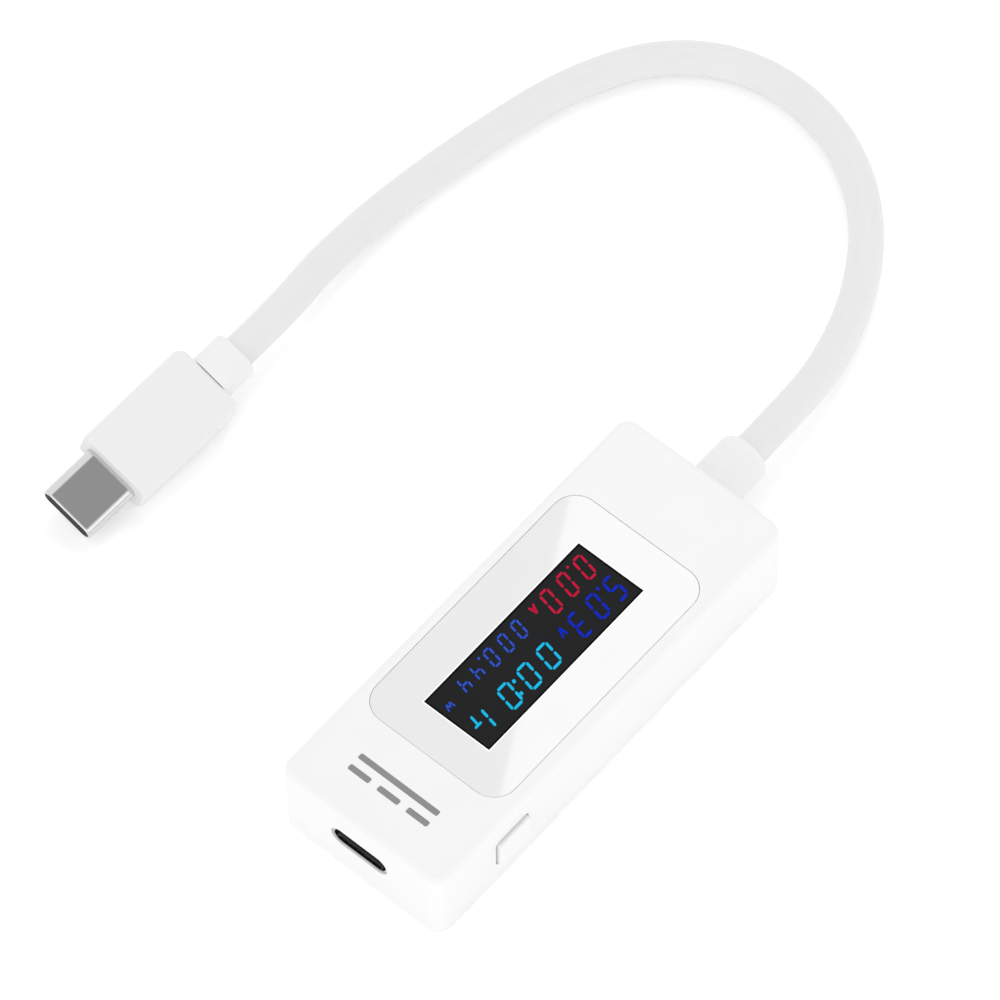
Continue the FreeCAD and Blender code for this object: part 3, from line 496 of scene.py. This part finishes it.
# Every reading in millimetres from the middle of the display opening: x along the line, y towards the top.
readings = {
    "volts": digit_bars("5", (-12.75, 2.35), 1.5, 3.36, 0.36)
    + digit_bars("0", (-9.42, 2.35), 1.5, 3.36, 0.36)
    + digit_bars("3", (-6.02, 2.35), 1.5, 3.36, 0.36)
    + [dot_bar(-11.0, 0.72, 0.45, 0.42)]
    + unit_bars("V", (-3.6, 1.4), 0.85, 1.35, 0.3),
    "amps": digit_bars("0", (-12.62, -2.5), 1.36, 3.3, 0.33)
    + digit_bars("0", (-9.4, -2.5), 1.36, 3.3, 0.33)
    + digit_bars("0", (-6.25, -2.5), 1.36, 3.3, 0.33)
    + [dot_bar(-10.95, -4.1, 0.36, 0.34)]
    + unit_bars("A", (-3.78, -3.38), 0.85, 1.35, 0.28),
    "clock": digit_bars("0", (-0.1, 2.3), 1.8, 3.25, 0.37)
    + digit_bars("0", (3.6, 2.3), 1.8, 3.25, 0.37)
    + [dot_bar(5.95, 3.15, 0.5, 0.5), dot_bar(5.6, 1.35, 0.5, 0.5)]
    + digit_bars("0", (7.3, 2.3), 1.8, 3.25, 0.37)
    + digit_bars("1", (10.6, 2.3), 1.5, 3.05, 0.38)
    + unit_bars("T", (13.0, 1.25), 1.15, 1.5, 0.34),
    "watts": digit_bars("0", (-0.6, -2.95), 1.08, 2.5, 0.29)
    + digit_bars("0", (1.95, -2.95), 1.08, 2.5, 0.29)
    + digit_bars("0", (4.6, -2.95), 1.08, 2.5, 0.29)
    + [dot_bar(6.02, -4.1, 0.36, 0.34)]
    + digit_bars("4", (7.25, -3.05), 1.05, 2.2, 0.29)
    + digit_bars("4", (9.65, -3.05), 1.05, 2.2, 0.29)
    + unit_bars("W", (13.1, -2.4), 1.1, 0.95, 0.22),
}
SEGMENT_COLOURS = {
    "volts": srgb(0, 38, 205),
    "amps": srgb(205, 14, 58),
    "clock": srgb(14, 190, 236),
    "watts": srgb(45, 85, 205),
}
print("segments:", {name: len(bars) for name, bars in readings.items()})

# %% [markdown]
# The tree itself: a pointed bar is a unit hexagon in the plane. Each point's stored turn, length and
# width place a copy of it. Leaning is a shift along the line in proportion to the height above it.

# %% Geometry Nodes tree for bars
LEAN = math.tan(math.radians(11))
LIT_THICKNESS = 0.012 * MM
POINTED = 0.14


def unit_bar():
    """A flat pointed bar, 1 long and 1 wide, lying along X."""
    outline = [
        (-0.5, 0), (-0.5 + POINTED, -0.5), (0.5 - POINTED, -0.5),
        (0.5, 0), (0.5 - POINTED, 0.5), (-0.5 + POINTED, 0.5),
    ]
    mesh = bpy.data.meshes.new("unit_bar")
    mesh.from_pydata([(x, y, 0) for x, y in outline], [], [tuple(range(len(outline)))])
    return bpy.data.objects.new("unit_bar", mesh)


def bar_tree(bar):
    tree = bpy.data.node_groups.new("segment bars", "GeometryNodeTree")
    face = tree.interface
    face.new_socket("Points", in_out="INPUT", socket_type="NodeSocketGeometry")
    face.new_socket("Lean", in_out="INPUT", socket_type="NodeSocketFloat")
    face.new_socket("Base line", in_out="INPUT", socket_type="NodeSocketFloat")
    face.new_socket("Finish", in_out="INPUT", socket_type="NodeSocketMaterial")
    face.new_socket("Bars", in_out="OUTPUT", socket_type="NodeSocketGeometry")
    new = tree.nodes.new
    entry = new("NodeGroupInput")
    shape = new("GeometryNodeObjectInfo")
    shape.inputs["Object"].default_value = bar
    copies = new("GeometryNodeInstanceOnPoints")
    attribute = {}
    for name, kind in (("turn", "FLOAT"), ("long", "FLOAT"), ("wide", "FLOAT")):
        attribute[name] = new("GeometryNodeInputNamedAttribute")
        attribute[name].data_type = kind
        attribute[name].inputs["Name"].default_value = name
    angles = new("ShaderNodeCombineXYZ")
    sizes = new("ShaderNodeCombineXYZ")
    sizes.inputs["Z"].default_value = 1
    realize = new("GeometryNodeRealizeInstances")
    shift = new("GeometryNodeSetPosition")
    place = new("GeometryNodeInputPosition")
    parts = new("ShaderNodeSeparateXYZ")
    above = new("ShaderNodeMath")
    above.operation = "SUBTRACT"
    lean = new("ShaderNodeMath")
    lean.operation = "MULTIPLY"
    offset = new("ShaderNodeCombineXYZ")
    dress = new("GeometryNodeSetMaterial")
    leave = new("NodeGroupOutput")
    wires = [
        (entry.outputs["Points"], copies.inputs["Points"]),
        (shape.outputs["Geometry"], copies.inputs["Instance"]),
        (attribute["turn"].outputs["Attribute"], angles.inputs["Z"]),
        (angles.outputs["Vector"], copies.inputs["Rotation"]),
        (attribute["long"].outputs["Attribute"], sizes.inputs["X"]),
        (attribute["wide"].outputs["Attribute"], sizes.inputs["Y"]),
        (sizes.outputs["Vector"], copies.inputs["Scale"]),
        (copies.outputs["Instances"], realize.inputs["Geometry"]),
        (realize.outputs["Geometry"], shift.inputs["Geometry"]),
        (place.outputs["Position"], parts.inputs["Vector"]),
        (parts.outputs["Y"], above.inputs[0]),
        (entry.outputs["Base line"], above.inputs[1]),
        (above.outputs["Value"], lean.inputs[0]),
        (entry.outputs["Lean"], lean.inputs[1]),
        (lean.outputs["Value"], offset.inputs["X"]),
        (offset.outputs["Vector"], shift.inputs["Offset"]),
        (shift.outputs["Geometry"], dress.inputs["Geometry"]),
        (entry.outputs["Finish"], dress.inputs["Material"]),
        (dress.outputs["Geometry"], leave.inputs["Bars"]),
    ]
    for source, target in wires:
        tree.links.new(source, target)
    return tree


bar_shape = unit_bar()
bars_tree = bar_tree(bar_shape)
print("tree:", bars_tree.name, "with", len(bars_tree.nodes), "nodes")

# %% [markdown]
# A lit segment is light from behind, so its colour is given as glow, and the film over it keeps it from
# mirroring the studio. Each reading is turned to a plain mesh, laid on the film and given to the case.

# %% Segments on the display
# Bars longer than this, in millimetres, set the height that a reading leans about; dots don't count.
LONG_BAR = 0.8
film_low, film_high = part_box("display_front_polariser")
display_middle = (film_low + film_high) / 2
SEGMENT_LIFT = 0.01 * MM


def glow(name, colour):
    material = bpy.data.materials.new(name)
    material.use_nodes = True
    tree = material.node_tree
    shader = tree.nodes["Principled BSDF"]
    shader.inputs["Base Color"].default_value = (0.002, 0.002, 0.003, 1)
    shader.inputs["Roughness"].default_value = 0.5
    shader.inputs["Specular IOR Level"].default_value = 0.05
    shader.inputs["Emission Strength"].default_value = 1.0
    uneven = noise(tree, 1.6 * MM, detail=1)
    dim = tuple(v * 0.86 for v in colour[:3]) + (1,)
    tree.links.new(ramp(tree, uneven, dim, colour), shader.inputs["Emission Color"])
    return material


def points_object(name, bars):
    """One loose point per bar, in metres, carrying its turn, length and width."""
    mesh = bpy.data.meshes.new(name)
    mesh.from_pydata([(x * MM, y * MM, 0) for x, y, *_ in bars], [], [])
    for label, column, unit in (("turn", 2, 1), ("long", 3, MM), ("wide", 4, MM)):
        layer = mesh.attributes.new(label, "FLOAT", "POINT")
        layer.data.foreach_set("value", [bar[column] * unit for bar in bars])
    return link(bpy.data.objects.new(name, mesh))


def make_reading(name, bars):
    heights = [bar[1] for bar in bars if bar[3] > LONG_BAR]
    base_line = sum(heights) / len(heights) * MM
    source = points_object(name, bars)
    material = glow(name + " glow", SEGMENT_COLOURS[name])
    modifier = source.modifiers.new("bars", "NODES")
    modifier.node_group = bars_tree
    values = {"Lean": LEAN, "Base line": base_line, "Finish": material}
    for item in bars_tree.interface.items_tree:
        if item.item_type == "SOCKET" and item.name in values:
            modifier[item.identifier] = values[item.name]
    depsgraph = bpy.context.evaluated_depsgraph_get()
    mesh = bpy.data.meshes.new_from_object(source.evaluated_get(depsgraph))
    mesh.name = name + "_segments"
    # The line of text runs towards the socket and its top faces the button.
    along = Matrix(((0, 1, 0), (-1, 0, 0), (0, 0, 1))).to_4x4()
    top = Vector((display_middle.x, display_middle.y, film_high.z + SEGMENT_LIFT))
    mesh.transform(Matrix.Translation(top) @ along)
    work = bmesh.new()
    work.from_mesh(mesh)
    extruded = bmesh.ops.extrude_face_region(work, geom=work.faces[:])
    for item in extruded["geom"]:
        if isinstance(item, bmesh.types.BMVert):
            item.co.z += LIT_THICKNESS
    bmesh.ops.recalc_face_normals(work, faces=work.faces[:])
    work.to_mesh(mesh)
    work.free()
    bpy.data.objects.remove(source)
    piece = link(bpy.data.objects.new(name + "_segments", mesh))
    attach(piece, "housing")
    return piece


for name, bars in readings.items():
    piece = make_reading(name, bars)
    print(piece.name, len(piece.data.polygons), "faces")
bpy.data.objects.remove(bar_shape)

# %% [markdown]
# ## The opening's dark rim, a painted shadow
# Where the film ends, a thin black line shows all round it: the shade in the gap at the opening's edge. A
# narrow frame of flat black, laid on the film just inside the opening, paints that shadow as a clean line.

# %% Painted gap shadow round the display
GAP_SHADOW_WIDTH = 0.22 * MM
GAP_SHADOW_THICKNESS = 0.008 * MM
FILM_GAP = 0.06 * MM
# Painted shadow: flat black without gloss, laid on the film's edge where only the shade of the gap falls.
painted_gap_shadow = finish("painted gap shadow", (0.002, 0.002, 0.002, 1), drift=0.3, rough=(0.6, 0.7), bump=0,
                      Specular_IOR_Level=0.05)


def ring_piece(name, low, high, width, levels, material):
    """A flat rectangular ring between two heights. A positive width lies inside the rectangle."""
    work = bmesh.new()
    outer = [(low.x, low.y), (high.x, low.y), (high.x, high.y), (low.x, high.y)]
    signs = [(1, 1), (-1, 1), (-1, -1), (1, -1)]
    inner = [(x + sx * width, y + sy * width) for (x, y), (sx, sy) in zip(outer, signs)]
    rings = [[[work.verts.new((x, y, z)) for x, y in ring] for ring in (outer, inner)] for z in levels]
    (low_out, low_in), (high_out, high_in) = rings
    for i in range(4):
        j = (i + 1) % 4
        work.faces.new((high_out[i], high_out[j], high_in[j], high_in[i]))
        work.faces.new((low_in[i], low_in[j], low_out[j], low_out[i]))
        work.faces.new((low_out[i], low_out[j], high_out[j], high_out[i]))
        work.faces.new((low_in[j], low_in[i], high_in[i], high_in[j]))
    bmesh.ops.recalc_face_normals(work, faces=work.faces[:])
    mesh = bpy.data.meshes.new(name)
    work.to_mesh(mesh)
    work.free()
    mesh.materials.append(material)
    piece = link(bpy.data.objects.new(name, mesh))
    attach(piece, "housing")
    return piece


opening_low = film_low - Vector((FILM_GAP, FILM_GAP, 0))
opening_high = film_high + Vector((FILM_GAP, FILM_GAP, 0))
window_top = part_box("window_panel")[1].z
gap_shadow_ring = ring_piece("display_margin", film_low, film_high, GAP_SHADOW_WIDTH,
                    (film_high.z + GAP_SHADOW_THICKNESS / 4, film_high.z + GAP_SHADOW_THICKNESS),
                    painted_gap_shadow)
print("margin:", len(gap_shadow_ring.data.polygons), "faces")

# %% [markdown]
# Outside the film the window's clear layer ends in a cut edge. The fine bright line round the display is a
# painted highlight: a thin near-white ring with a faint glow, in place of the light that edge catches.

# %% Painted highlight on the cut edge
EDGE_WIDTH = 0.15 * MM
EDGE_LIFT = 0.004 * MM
# Painted highlight: a near-white colour and a faint glow stand in for the light the cut edge catches.
painted_edge_highlight = finish("painted edge highlight", (0.9, 0.9, 0.9, 1), drift=0.01, rough=(0.25, 0.35), bump=0,
                     Emission_Color=(1, 1, 1, 1), Emission_Strength=0.12)
edge_highlight_ring = ring_piece("window_cut_edge", opening_low, opening_high, -EDGE_WIDTH,
                      (window_top - 2 * EDGE_LIFT, window_top + EDGE_LIFT), painted_edge_highlight)
print("painted edge highlight:", len(edge_highlight_ring.data.polygons), "faces")

# %% [markdown]
# ## The printed mark
# Where a maker would print a name, this one has the plain direct-current sign: one long bar over three
# short ones, in grey ink. Pad printing leaves an ink film a few hundredths thick with soft edges.

# %% Direct-current mark
MARK_WIDTH = 12.8 * MM
MARK_BAR = 0.85 * MM
MARK_GAP = 1.1 * MM
MARK_DASHES = 3
MARK_DASH_GAP = 1.3 * MM
MARK_CORNER_SHARE = 0.28
MARK_CORNER_STEPS = 5
MARK_SHIFT = 0.2 * MM
INK_THICKNESS = 0.02 * MM
INK_SHOWING = 0.006 * MM

ink_grey = finish("grey ink", srgb(132, 132, 134), drift=0.06, rough=(0.45, 0.6),
                  grain=0.08 * MM, bump=0.002 * MM)


def rounded_bar(work, middle_x, middle_y, width, height, top):
    """A thin printed bar with round corners."""
    radius = height * MARK_CORNER_SHARE
    steps = MARK_CORNER_STEPS
    ring = []
    for corner in range(4):
        cx = middle_x + (width / 2 - radius) * (1 if corner in (0, 3) else -1)
        cy = middle_y + (height / 2 - radius) * (1 if corner in (0, 1) else -1)
        for step in range(steps + 1):
            angle = math.pi / 2 * (corner + step / steps)
            ring.append(work.verts.new((cx + radius * math.cos(angle), cy + radius * math.sin(angle), top)))
    face = work.faces.new(ring)
    extruded = bmesh.ops.extrude_face_region(work, geom=[face])
    for item in extruded["geom"]:
        if isinstance(item, bmesh.types.BMVert):
            item.co.z -= INK_THICKNESS


def make_mark():
    case_low, case_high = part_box("top_cover")
    window_low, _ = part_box("window_panel")
    middle_y = (case_low.y + window_low.y) / 2 + MARK_SHIFT
    top = case_high.z + INK_SHOWING
    work = bmesh.new()
    upper = middle_y + MARK_GAP / 2 + MARK_BAR / 2
    lower = middle_y - MARK_GAP / 2 - MARK_BAR / 2
    rounded_bar(work, 0, upper, MARK_WIDTH, MARK_BAR, top)
    dash = (MARK_WIDTH - (MARK_DASHES - 1) * MARK_DASH_GAP) / MARK_DASHES
    for i in range(MARK_DASHES):
        x = (i - (MARK_DASHES - 1) / 2) * (dash + MARK_DASH_GAP)
        rounded_bar(work, x, lower, dash, MARK_BAR, top)
    bmesh.ops.recalc_face_normals(work, faces=work.faces[:])
    mesh = bpy.data.meshes.new("direct_current_mark")
    work.to_mesh(mesh)
    work.free()
    mesh.materials.append(ink_grey)
    mark = link(bpy.data.objects.new("direct_current_mark", mesh))
    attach(mark, "housing")
    return mark


mark = make_mark()
print("mark:", [round(v / MM, 1) for v in mark.dimensions], "mm")

# %% [markdown]
# ## Floor finish
# The floor is a light table: matt white acrylic, faintly lit from behind, so that it stays white and
# shadows all but vanish.

# %% Floor material
FLOOR_GLOW = 0.12
floor_card = finish("floor card", (0.95, 0.95, 0.95, 1), drift=0.004, rough=(0.85, 0.95), bump=0,
                    Emission_Color=(1, 1, 1, 1), Emission_Strength=FLOOR_GLOW)
floor.data.materials.append(floor_card)
print("floor:", FLOOR_SIZE, "m across")
